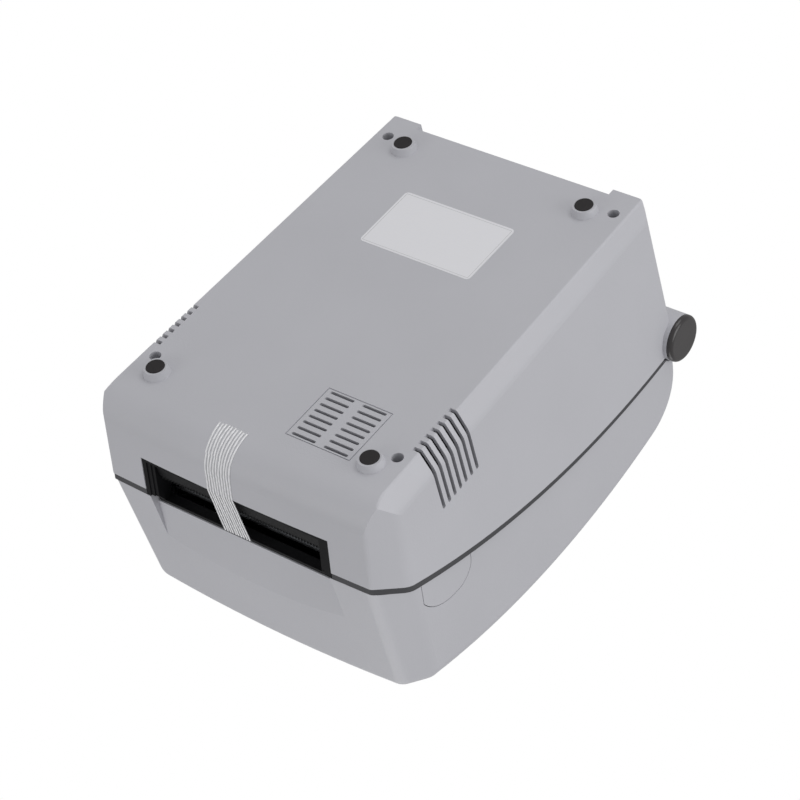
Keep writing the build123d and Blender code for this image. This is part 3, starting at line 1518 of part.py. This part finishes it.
with BuildPart() as light_pipes:
    with BuildSketch(key_plane.offset(-key_board_depth + 1)):
        with Locations(light_places):
            Circle(light_diameter / 2)
    extrude(amount=key_board_depth - 1)
    with BuildSketch(key_plane.offset(-lid_wall - 2)):
        with Locations(light_places):
            Circle(light_diameter / 2 + 0.8)
    extrude(amount=0.8)
finish(light_pipes.part, "light_pipes")

with BuildPart() as key_board:
    with BuildSketch(key_plane.offset(-key_board_depth)):
        with Locations((0, key_board_length / 2 - 10)):
            Rectangle(18, key_board_length)
    extrude(amount=-1.2)
    with BuildSketch(key_plane.offset(-key_board_depth)):
        Rectangle(6, 6)
    extrude(amount=1.2)
    with BuildSketch(key_plane.offset(-key_board_depth)):
        with Locations(light_places):
            Rectangle(2.6, 1.8)
    extrude(amount=0.8)
finish(key_board.part, "key_board")
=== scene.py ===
import json
import math
import random

import bmesh
import bpy
from mathutils import Matrix, Vector


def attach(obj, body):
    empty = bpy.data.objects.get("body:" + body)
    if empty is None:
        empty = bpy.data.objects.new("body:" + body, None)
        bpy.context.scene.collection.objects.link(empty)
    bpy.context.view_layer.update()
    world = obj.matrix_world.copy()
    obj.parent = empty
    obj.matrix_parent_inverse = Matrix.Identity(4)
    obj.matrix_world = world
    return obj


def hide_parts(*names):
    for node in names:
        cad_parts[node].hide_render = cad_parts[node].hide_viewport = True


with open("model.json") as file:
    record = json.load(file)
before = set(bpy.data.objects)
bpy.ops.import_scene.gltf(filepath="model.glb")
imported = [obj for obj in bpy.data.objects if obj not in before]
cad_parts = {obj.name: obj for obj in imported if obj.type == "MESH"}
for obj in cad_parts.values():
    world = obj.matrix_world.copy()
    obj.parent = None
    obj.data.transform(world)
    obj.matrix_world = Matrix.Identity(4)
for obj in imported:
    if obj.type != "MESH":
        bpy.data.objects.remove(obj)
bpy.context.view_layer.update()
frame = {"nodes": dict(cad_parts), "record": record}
nodes = frame["nodes"]
MM = 0.001


def mm(x, y, z):
    """A point given in millimetres, in the frame's metres."""
    return Vector((x, y, z)) * MM


# Node trees

def new_material(name, color, roughness, metallic=0.0, specular=0.5):
    material = bpy.data.materials.new(name)
    material.use_nodes = True
    shader = material.node_tree.nodes["Principled BSDF"]
    shader.inputs["Base Color"].default_value = (*color, 1)
    shader.inputs["Roughness"].default_value = roughness
    shader.inputs["Metallic"].default_value = metallic
    shader.inputs["Specular IOR Level"].default_value = specular
    return material, shader


def add_node(material, kind, **values):
    node = material.node_tree.nodes.new(kind)
    for name, value in values.items():
        if name in node.inputs:
            node.inputs[name].default_value = value
        else:
            setattr(node, name, value)
    return node


def link(material, out_socket, in_socket):
    material.node_tree.links.new(out_socket, in_socket)


def arithmetic(material, operation, *terms):
    """Result of one maths node, whose terms are sockets or numbers."""
    node = add_node(material, "ShaderNodeMath", operation=operation)
    for socket, term in zip(node.inputs, terms):
        if isinstance(term, bpy.types.NodeSocket):
            link(material, term, socket)
        else:
            socket.default_value = term
    return node.outputs["Value"]


def object_space(material, stretch=(1, 1, 1)):
    """Object coordinates, in metres, optionally stretched along an axis."""
    places = add_node(material, "ShaderNodeTexCoord")
    mapping = add_node(material, "ShaderNodeMapping")
    mapping.inputs["Scale"].default_value = stretch
    link(material, places.outputs["Object"], mapping.inputs["Vector"])
    return mapping.outputs["Vector"]


def noise(material, vector, scale, detail=2.0, rough=0.5):
    texture = add_node(material, "ShaderNodeTexNoise")
    texture.inputs["Scale"].default_value = scale
    texture.inputs["Detail"].default_value = detail
    texture.inputs["Roughness"].default_value = rough
    link(material, vector, texture.inputs["Vector"])
    return texture.outputs["Fac"]


def ramp(material, factor, stops):
    node = add_node(material, "ShaderNodeValToRGB")
    elements = node.color_ramp.elements
    while len(elements) < len(stops):
        elements.new(0.5)
    for element, (place, color) in zip(elements, stops):
        element.position = place
        element.color = (*color, 1)
    link(material, factor, node.inputs["Fac"])
    return node.outputs["Color"]


def shade(color, gain):
    return tuple(min(channel * gain, 1) for channel in color)


def tint(material, shader, factor, color, spread):
    """Colour that varies a little about its mean."""
    stops = [(0.3, shade(color, 1 - spread)), (0.7, shade(color, 1 + spread))]
    link(material, ramp(material, factor, stops), shader.inputs["Base Color"])


def vary_roughness(material, shader, factor, low, high):
    reach = add_node(material, "ShaderNodeMapRange")
    reach.inputs["From Min"].default_value = 0.3
    reach.inputs["From Max"].default_value = 0.7
    reach.inputs["To Min"].default_value = low
    reach.inputs["To Max"].default_value = high
    link(material, factor, reach.inputs["Value"])
    link(material, reach.outputs["Result"], shader.inputs["Roughness"])


def bump(material, shader, height, strength, distance, under=None):
    """Relief from a height, over an earlier one if there is one."""
    node = add_node(material, "ShaderNodeBump")
    node.inputs["Strength"].default_value = strength
    node.inputs["Distance"].default_value = distance
    link(material, height, node.inputs["Height"])
    if under is not None:
        link(material, under, node.inputs["Normal"])
    link(material, node.outputs["Normal"], shader.inputs["Normal"])
    return node.outputs["Normal"]


# Materials

def grained_plastic(name, color, roughness, grain, depth, spread=0.015, specular=0.5):
    """Moulded plastic with a fine spark-eroded grain and faint cloudiness."""
    material, shader = new_material(name, color, roughness, specular=specular)
    space = object_space(material)
    cloud = noise(material, space, 14, 3)
    tint(material, shader, cloud, color, spread)
    fine = noise(material, space, grain, 2, 0.6)
    coarse = noise(material, space, grain * 0.38, 1)
    vary_roughness(material, shader, coarse, roughness - 0.05, roughness + 0.05)
    first = bump(material, shader, fine, 0.35, depth)
    bump(material, shader, coarse, 0.25, depth * 2, first)
    return material


def gloss_plastic(name, color, roughness):
    """Polished plastic with a slight unevenness."""
    material, shader = new_material(name, color, roughness)
    space = object_space(material)
    wave = noise(material, space, 90, 2)
    tint(material, shader, wave, color, 0.06)
    vary_roughness(material, shader, noise(material, space, 260, 3), roughness, roughness + 0.06)
    bump(material, shader, wave, 0.08, 0.0002)
    return material


def rubber(name, color, roughness, grain):
    """Matt rubber with a fine bloom."""
    material, shader = new_material(name, color, roughness, specular=0.3)
    space = object_space(material)
    fine = noise(material, space, grain, 4, 0.7)
    tint(material, shader, fine, color, 0.12)
    bump(material, shader, fine, 0.4, 0.00012)
    return material


def brushed_metal(name, color, roughness, stretch, spread=0.05):
    """Metal with fine lines across one axis, stretched along the others."""
    material, shader = new_material(name, color, roughness, metallic=1.0)
    space = object_space(material, stretch)
    lines = noise(material, space, 1200, 3)
    tint(material, shader, lines, color, spread)
    vary_roughness(material, shader, lines, roughness - 0.06, roughness + 0.08)
    bump(material, shader, lines, 0.12, 0.00004)
    return material


def spangled_sheet_painted_shade(name, color):
    """Galvanised sheet with a faint spangle, in a dark colour that stands for the shade inside the vents
    and grille: painted shade.
    """
    material, shader = new_material(name, color, 0.38, metallic=1.0)
    space = object_space(material)
    spangle = add_node(material, "ShaderNodeTexVoronoi")
    spangle.inputs["Scale"].default_value = 260
    link(material, space, spangle.inputs["Vector"])
    tint(material, shader, spangle.outputs["Distance"], color, 0.08)
    vary_roughness(material, shader, noise(material, space, 300, 2), 0.3, 0.46)
    return material


def circuit_board(name):
    """Green solder mask with fine tracks."""
    color = (0.012, 0.1, 0.035)
    material, shader = new_material(name, color, 0.35)
    space = object_space(material)
    tracks = add_node(material, "ShaderNodeTexBrick")
    tracks.inputs["Scale"].default_value = 160
    tracks.inputs["Mortar Size"].default_value = 0.05
    tracks.inputs["Color1"].default_value = (*color, 1)
    tracks.inputs["Color2"].default_value = (*shade(color, 0.8), 1)
    tracks.inputs["Mortar"].default_value = (*shade(color, 2.0), 1)
    link(material, space, tracks.inputs["Vector"])
    link(material, tracks.outputs["Color"], shader.inputs["Base Color"])
    bump(material, shader, tracks.outputs["Fac"], 0.2, 0.00005)
    return material


def label_stock(name, color, middle, size):
    """Blank silver-grey label stock with a thin darker line just inside its edge."""
    line_inset = 1.4 * MM
    line_half_width = 0.12 * MM
    material, shader = new_material(name, color, 0.42)
    space = object_space(material, (1, 12, 1))
    lines = noise(material, space, 500, 2)
    stops = [(0.3, shade(color, 0.988)), (0.7, shade(color, 1.012))]
    plain = ramp(material, lines, stops)
    shift = add_node(material, "ShaderNodeVectorMath", operation="SUBTRACT")
    link(material, object_space(material), shift.inputs[0])
    shift.inputs[1].default_value = middle
    parts = add_node(material, "ShaderNodeSeparateXYZ")
    link(material, shift.outputs["Vector"], parts.inputs["Vector"])
    rims = []
    for axis, reach in zip("XY", size):
        far = arithmetic(material, "ABSOLUTE", parts.outputs[axis])
        rims.append(arithmetic(material, "SUBTRACT", reach / 2, far))
    nearest = arithmetic(material, "MINIMUM", *rims)
    border = arithmetic(material, "COMPARE", nearest, line_inset, line_half_width)
    mix = add_node(material, "ShaderNodeMixRGB")
    link(material, border, mix.inputs["Fac"])
    link(material, plain, mix.inputs["Color1"])
    mix.inputs["Color2"].default_value = (*shade(color, 0.6), 1)
    link(material, mix.outputs["Color"], shader.inputs["Base Color"])
    vary_roughness(material, shader, lines, 0.38, 0.46)
    shader.inputs["Coat Weight"].default_value = 0.25
    shader.inputs["Coat Roughness"].default_value = 0.2
    return material


def clear_acrylic(name):
    """Light pipe with a faint haze."""
    material, shader = new_material(name, (0.75, 0.85, 0.8), 0.12)
    shader.inputs["Transmission Weight"].default_value = 0.6
    haze = noise(material, object_space(material), 400, 2)
    vary_roughness(material, shader, haze, 0.1, 0.2)
    return material


def clear_film(name, color, cover):
    """Thin film that lets most of what lies under it show through."""
    material, shader = new_material(name, color, 0.22)
    space = object_space(material, (1, 0.25, 0.25))
    streaks = noise(material, space, 420, 3)
    tint(material, shader, streaks, color, 0.04)
    vary_roughness(material, shader, streaks, 0.16, 0.34)
    bump(material, shader, streaks, 0.3, 0.0002)
    shader.inputs["Alpha"].default_value = cover
    return material


def twisted_strand(name, color):
    """White yarn, banded across by its twist."""
    material, shader = new_material(name, color, 0.34)
    space = object_space(material)
    twist = add_node(material, "ShaderNodeTexWave")
    twist.bands_direction = "DIAGONAL"
    twist.inputs["Scale"].default_value = 190
    twist.inputs["Distortion"].default_value = 3.0
    twist.inputs["Detail"].default_value = 2.0
    link(material, space, twist.inputs["Vector"])
    tint(material, shader, twist.outputs["Fac"], color, 0.05)
    bump(material, shader, twist.outputs["Fac"], 0.12, 0.0001)
    return material


casing = (0.474, 0.475, 0.508)
label_middle = mm(0.7, 51.6, 0)
label_size = (75 * MM, 45 * MM)
materials = {
    "casing_plastic": grained_plastic("casing_grey", casing, 0.46, 2300, 0.00012, 0.018),
    "liner_plastic": grained_plastic("charcoal_grain", (0.045, 0.045, 0.05), 0.5, 2400, 0.00006, 0.05),
    "frame_plastic": grained_plastic("black_satin", (0.006, 0.006, 0.007), 0.5, 2200, 0.00004, 0.06, 0.13),
    "hub_plastic": grained_plastic("blue_grey_hub", (0.06, 0.09, 0.18), 0.42, 2200, 0.00004, 0.04),
    "cap_plastic": gloss_plastic("black_gloss", (0.036, 0.033, 0.034), 0.2),
    "gear_plastic": grained_plastic("natural_acetal", (0.72, 0.7, 0.62), 0.4, 1500, 0.00003, 0.03),
    "bush_plastic": grained_plastic("black_acetal", (0.02, 0.02, 0.02), 0.35, 1500, 0.00003, 0.04),
    "foot_rubber": rubber("foot_rubber", (0.016, 0.014, 0.015), 0.62, 1400),
    "platen_rubber": rubber("platen_rubber", (0.014, 0.014, 0.015), 0.5, 2600),
    # The sheet steel colour is kept dark so the vents and grille look shaded inside: painted shade.
    "sheet_steel": spangled_sheet_painted_shade("spangled_sheet_painted_shade", (0.16, 0.165, 0.175)),
    "bright_steel": brushed_metal("turned_steel", (0.62, 0.62, 0.63), 0.26, (1, 0.05, 0.05)),
    "connector_metal": brushed_metal("tinned_sheet", (0.66, 0.66, 0.67), 0.3, (0.1, 1, 1)),
    "motor_metal": brushed_metal("blackened_steel", (0.05, 0.05, 0.055), 0.34, (1, 0.1, 0.1), 0.1),
    "sink_aluminium": brushed_metal("extruded_aluminium", (0.75, 0.76, 0.77), 0.3, (0.05, 1, 1)),
    "head_ceramic": gloss_plastic("glazed_ceramic", (0.6, 0.55, 0.45), 0.2),
    "board_laminate": circuit_board("green_board"),
    "light_acrylic": clear_acrylic("clear_acrylic"),
    "label_film": label_stock("blank_label", (0.735, 0.735, 0.765), label_middle, label_size),
    "tape_film": gloss_plastic("tape_film", (0.8, 0.81, 0.85), 0.3),
}
slot_of = {entry["node"]: entry["material_slot"] for entry in frame["record"]["subparts"]}
for name, piece in nodes.items():
    # The tear bar gets the black frame plastic in place of its sheet steel so the inside of the label slot
    # looks dark: painted shade.
    finish = materials["frame_plastic" if name == "tear_bar" else slot_of[name]]
    for slot in piece.material_slots:
        slot.material = finish
    if not piece.material_slots:
        piece.data.materials.append(finish)


# Packing tape: clear film with raised white strands

tape_step = 0.7 * MM
tape_seed = 7
film_columns = 38
film_gap = 0.02 * MM
film_ripple = 0.05 * MM
film_tooth = 0.9 * MM
strand_count = 10
strand_sides = 6
strand_gap = 0.03 * MM
strand_half_width = 0.5 * MM
strand_half_spread = 0.08 * MM
strand_height = 0.3 * MM
strand_height_swing = 0.05 * MM
strand_swing = 0.12 * MM
match_distance = 1e-5


def tape_route():
    """Points along the outer side of the tape, from its start under the base to its end."""
    piece = nodes["packing_tape"]
    places = [piece.matrix_world @ vertex.co for vertex in piece.data.vertices]
    edge_x = min(place.x for place in places)
    uses = {}
    for face in piece.data.polygons:
        ring = [places[index] for index in face.vertices]
        if max(place.x for place in ring) - edge_x > match_distance:
            continue
        keys = [(round(place.y, 6), round(place.z, 6)) for place in ring]
        for here, there in zip(keys, keys[1:] + keys[:1]):
            edge = tuple(sorted((here, there)))
            uses[edge] = uses.get(edge, 0) + 1
    beside = {}
    for (here, there), count in uses.items():
        if count == 1:
            beside.setdefault(here, []).append(there)
            beside.setdefault(there, []).append(here)
    high_z = max(key[1] for key in beside)
    first = max(beside, key=lambda key: (round(key[0], 4), -key[1]))
    route = [first]
    following = min(beside[first], key=lambda key: key[0])
    while following not in route:
        route.append(following)
        if following[1] > high_z - match_distance:
            break
        onward = [key for key in beside[following] if key not in route]
        if not onward:
            break
        following = min(onward, key=lambda key: key[0])
    return [Vector((0, y, z)) for y, z in route]


def even_stations(route, step):
    """Points and outward directions at even steps along a route."""
    lengths = [0.0]
    for here, there in zip(route, route[1:]):
        lengths.append(lengths[-1] + (there - here).length)
    count = max(2, int(lengths[-1] / step))
    stations = []
    leg = 0
    for index in range(count + 1):
        reach = lengths[-1] * index / count
        while leg < len(route) - 2 and lengths[leg + 1] < reach:
            leg += 1
        span = lengths[leg + 1] - lengths[leg]
        along = (route[leg + 1] - route[leg]).normalized()
        point = route[leg].lerp(route[leg + 1], (reach - lengths[leg]) / span if span else 0)
        stations.append([point, Vector((0, -along.z, along.y))])
    flat = [out for _, out in stations]
    for index in range(1, count):
        stations[index][1] = (flat[index - 1] + flat[index] + flat[index + 1]).normalized()
    return stations


def edges_at(point):
    """Left and right edges of the tape, which tapers under the base and slants over the slot."""
    start_y, taper = -119 * MM, 24 * MM
    slot_z, slot_height = 35 * MM, 31 * MM
    underside_z = 12 * MM
    if point.z < underside_z:
        share = min(max((start_y - point.y) / taper, 0), 1)
        return (-2.6 + 0.6 * share) * MM, (18.0 - 2.0 * share) * MM
    share = min(max((point.z - slot_z) / slot_height, 0), 1)
    return (-2.0 - 1.9 * share) * MM, (16.0 - 1.0 * share) * MM


def join_rows(shape, rows):
    """Faces between neighbouring rows of vertices."""
    for row, following in zip(rows, rows[1:]):
        for place in range(len(row) - 1):
            corners = (row[place], row[place + 1], following[place + 1], following[place])
            shape.faces.new(corners)


def add_film(shape, stations, chance):
    """Thin rippled film with a toothed start."""
    rows = []
    for index, (point, out) in enumerate(stations):
        left, right = edges_at(point)
        row = []
        for column in range(film_columns + 1):
            tooth = film_tooth if index == 0 and column % 2 else 0
            place = point + Vector((left + (right - left) * column / film_columns, tooth, 0))
            lift = film_gap + film_ripple * chance.random()
            row.append(shape.verts.new(place + out * lift))
        rows.append(row)
    join_rows(shape, rows)


def add_strand(shape, stations, strand, chance):
    """One half-round strand, which wanders a little across the tape."""
    skip = chance.randrange(0, 2)
    half_width = strand_half_width + strand_half_spread * chance.random()
    phase = chance.random() * 6
    rows = []
    for index, (point, out) in enumerate(stations[skip:]):
        left, right = edges_at(point)
        middle = left + (right - left) * (strand + 0.5) / strand_count
        middle += strand_swing * math.sin(index * 0.21 + phase)
        height = strand_height + strand_height_swing * math.sin(index * 0.9 + phase)
        row = []
        for side in range(strand_sides + 1):
            angle = math.pi * side / strand_sides
            place = point + Vector((middle + half_width * math.cos(angle), 0, 0))
            row.append(shape.verts.new(place + out * (strand_gap + height * math.sin(angle))))
        rows.append(row)
    join_rows(shape, rows)
    shape.faces.new(rows[0])
    shape.faces.new(rows[-1])


def make_tape():
    chance = random.Random(tape_seed)
    stations = even_stations(tape_route(), tape_step)
    shape = bmesh.new()
    add_film(shape, stations, chance)
    film_faces = len(shape.faces)
    for strand in range(strand_count):
        add_strand(shape, stations, strand, chance)
    bmesh.ops.recalc_face_normals(shape, faces=shape.faces[:])
    for index, face in enumerate(shape.faces):
        face.smooth = True
        face.material_index = 0 if index < film_faces else 1
    mesh = bpy.data.meshes.new("strand_tape")
    shape.to_mesh(mesh)
    shape.free()
    mesh.materials.append(clear_film("clear_film", (0.82, 0.83, 0.86), 0.3))
    mesh.materials.append(twisted_strand("white_strand", (0.78, 0.78, 0.8)))
    tape = bpy.data.objects.new("strand_tape", mesh)
    bpy.context.scene.collection.objects.link(tape)
    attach(tape, "base")
    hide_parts("packing_tape")


make_tape()


# Camera: below and in front of the printer's left side, rolled so that the underside is up

camera_place = mm(-787.4, -772.8, -957.75)
camera_right = Vector((-0.79109, 0.58932, 0.16395))
camera_down = Vector((-0.32177, -0.62886, 0.70782))
focal_pixels = 2711.3
frame_pixels = 800
camera_data = bpy.data.cameras.new("photo_camera")
camera_data.sensor_width = 36
camera_data.lens = focal_pixels / frame_pixels * camera_data.sensor_width
camera_data.clip_end = 20
camera = bpy.data.objects.new("photo_camera", camera_data)
bpy.context.scene.collection.objects.link(camera)
camera_up = -camera_down.normalized()
camera_right = (camera_right - camera_right.dot(camera_up) * camera_up).normalized()
camera_back = camera_right.cross(camera_up)
turn = Matrix((camera_right, camera_up, camera_back)).transposed()
camera.matrix_world = Matrix.Translation(camera_place) @ turn.to_4x4()
bpy.context.scene.camera = camera


# Floor, seen only from above so that it doesn't hide the underside

def floor_material():
    material = bpy.data.materials.new("pale_floor")
    material.use_nodes = True
    tree = material.node_tree
    tree.nodes.clear()
    output = tree.nodes.new("ShaderNodeOutputMaterial")
    mix = tree.nodes.new("ShaderNodeMixShader")
    side = tree.nodes.new("ShaderNodeNewGeometry")
    clear = tree.nodes.new("ShaderNodeBsdfTransparent")
    paint = tree.nodes.new("ShaderNodeBsdfDiffuse")
    paint.inputs["Color"].default_value = (0.8, 0.8, 0.8, 1)
    tree.links.new(side.outputs["Backfacing"], mix.inputs["Fac"])
    tree.links.new(paint.outputs["BSDF"], mix.inputs[1])
    tree.links.new(clear.outputs["BSDF"], mix.inputs[2])
    tree.links.new(mix.outputs["Shader"], output.inputs["Surface"])
    return material


def make_floor():
    mesh = bpy.data.meshes.new("floor")
    reach = 3.0
    corners = [(-reach, -reach, 0), (reach, -reach, 0), (reach, reach, 0), (-reach, reach, 0)]
    mesh.from_pydata(corners, [], [(0, 1, 2, 3)])
    floor = bpy.data.objects.new("floor", mesh)
    mesh.materials.append(floor_material())
    bpy.context.scene.collection.objects.link(floor)
    floor.visible_shadow = False
    floor.visible_diffuse = False
    floor.visible_glossy = False
    floor.visible_transmission = False


# Light: an even world and large soft lamps above, below and around

def make_world(level):
    world = bpy.data.worlds.new("studio")
    bpy.context.scene.world = world
    world.use_nodes = True
    tree = world.node_tree
    tree.nodes.clear()
    output = tree.nodes.new("ShaderNodeOutputWorld")
    mix = tree.nodes.new("ShaderNodeMixShader")
    paths = tree.nodes.new("ShaderNodeLightPath")
    glow = tree.nodes.new("ShaderNodeBackground")
    glow.inputs["Color"].default_value = (1, 1, 1, 1)
    glow.inputs["Strength"].default_value = level
    white = tree.nodes.new("ShaderNodeBackground")
    white.inputs["Color"].default_value = (1, 1, 1, 1)
    white.inputs["Strength"].default_value = 1.0
    seen = tree.nodes.new("ShaderNodeMath")
    seen.operation = "MAXIMUM"
    tree.links.new(paths.outputs["Is Camera Ray"], seen.inputs[0])
    tree.links.new(paths.outputs["Is Transmission Ray"], seen.inputs[1])
    tree.links.new(seen.outputs["Value"], mix.inputs["Fac"])
    tree.links.new(glow.outputs["Background"], mix.inputs[1])
    tree.links.new(white.outputs["Background"], mix.inputs[2])
    tree.links.new(mix.outputs["Shader"], output.inputs["Surface"])


def soft_lamp(name, place, target, size, power):
    data = bpy.data.lights.new(name, "AREA")
    data.shape = "SQUARE"
    data.size = size
    data.energy = power
    lamp = bpy.data.objects.new(name, data)
    bpy.context.scene.collection.objects.link(lamp)
    lamp.location = place
    lamp.rotation_euler = (target - place).to_track_quat("-Z", "Y").to_euler()
    lamp.visible_camera = False


centre = mm(0, 0, 80)
make_floor()
make_world(0.47)
soft_lamp("side_lamp", Vector((-2.2, 0.3, -0.3)), centre, 1.6, 21.5)
soft_lamp("under_lamp", Vector((-0.4, 0.9, -2.2)), centre, 1.8, 19)
soft_lamp("front_lamp", Vector((0.7, -2.3, -0.5)), centre, 1.5, 13)
soft_lamp("right_lamp", Vector((2.3, 0.5, 0.5)), centre, 1.6, 12)
soft_lamp("top_lamp", Vector((0.0, -1.1, 2.2)), centre, 1.8, 14)

bpy.context.scene.view_settings.view_transform = "Standard"
